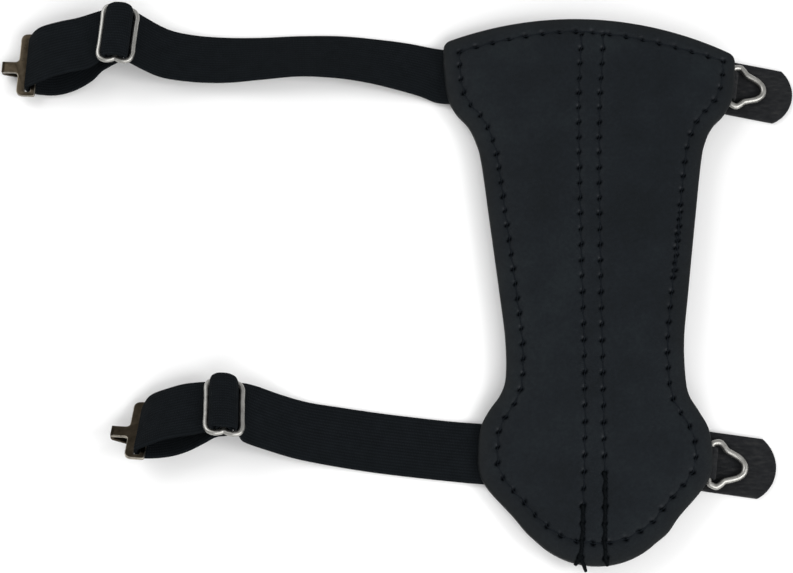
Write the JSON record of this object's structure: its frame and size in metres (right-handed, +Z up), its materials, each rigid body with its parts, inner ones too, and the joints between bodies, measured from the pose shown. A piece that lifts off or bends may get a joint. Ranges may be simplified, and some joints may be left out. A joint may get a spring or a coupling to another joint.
{
  "type": "archery arm guard",
  "caption": "Waisted black leather forearm guard for archery, with elastic straps, wire sliders and steel hooks on one side and wire eyes over leather tabs on the other.",
  "frame": {"origin": "middle of the laid-out guard's plan box, on the surface that it lies on", "axes": "+X from the hooks across the panel to the tabs, +Y along the panel to its wide end, +Z up from the surface"},
  "size_m": [0.2602, 0.1824, 0.0193],
  "materials": {
    "leather": "smooth matte black",
    "suede": "rough black",
    "elastic": "woven black",
    "nickel": "bright nickel",
    "steel": "dull steel"
  },
  "bodies": {
    "root": {"body_panel": "leather", "strap_upper": "elastic", "slider_upper": "nickel", "hook_upper": "steel", "eye_upper": "nickel", "eye_keeper_upper": "suede", "tab_upper": "suede", "strap_lower": "elastic", "slider_lower": "nickel", "hook_lower": "steel", "eye_lower": "nickel", "eye_keeper_lower": "suede", "tab_lower": "suede"}
  },
  "joints": []
}
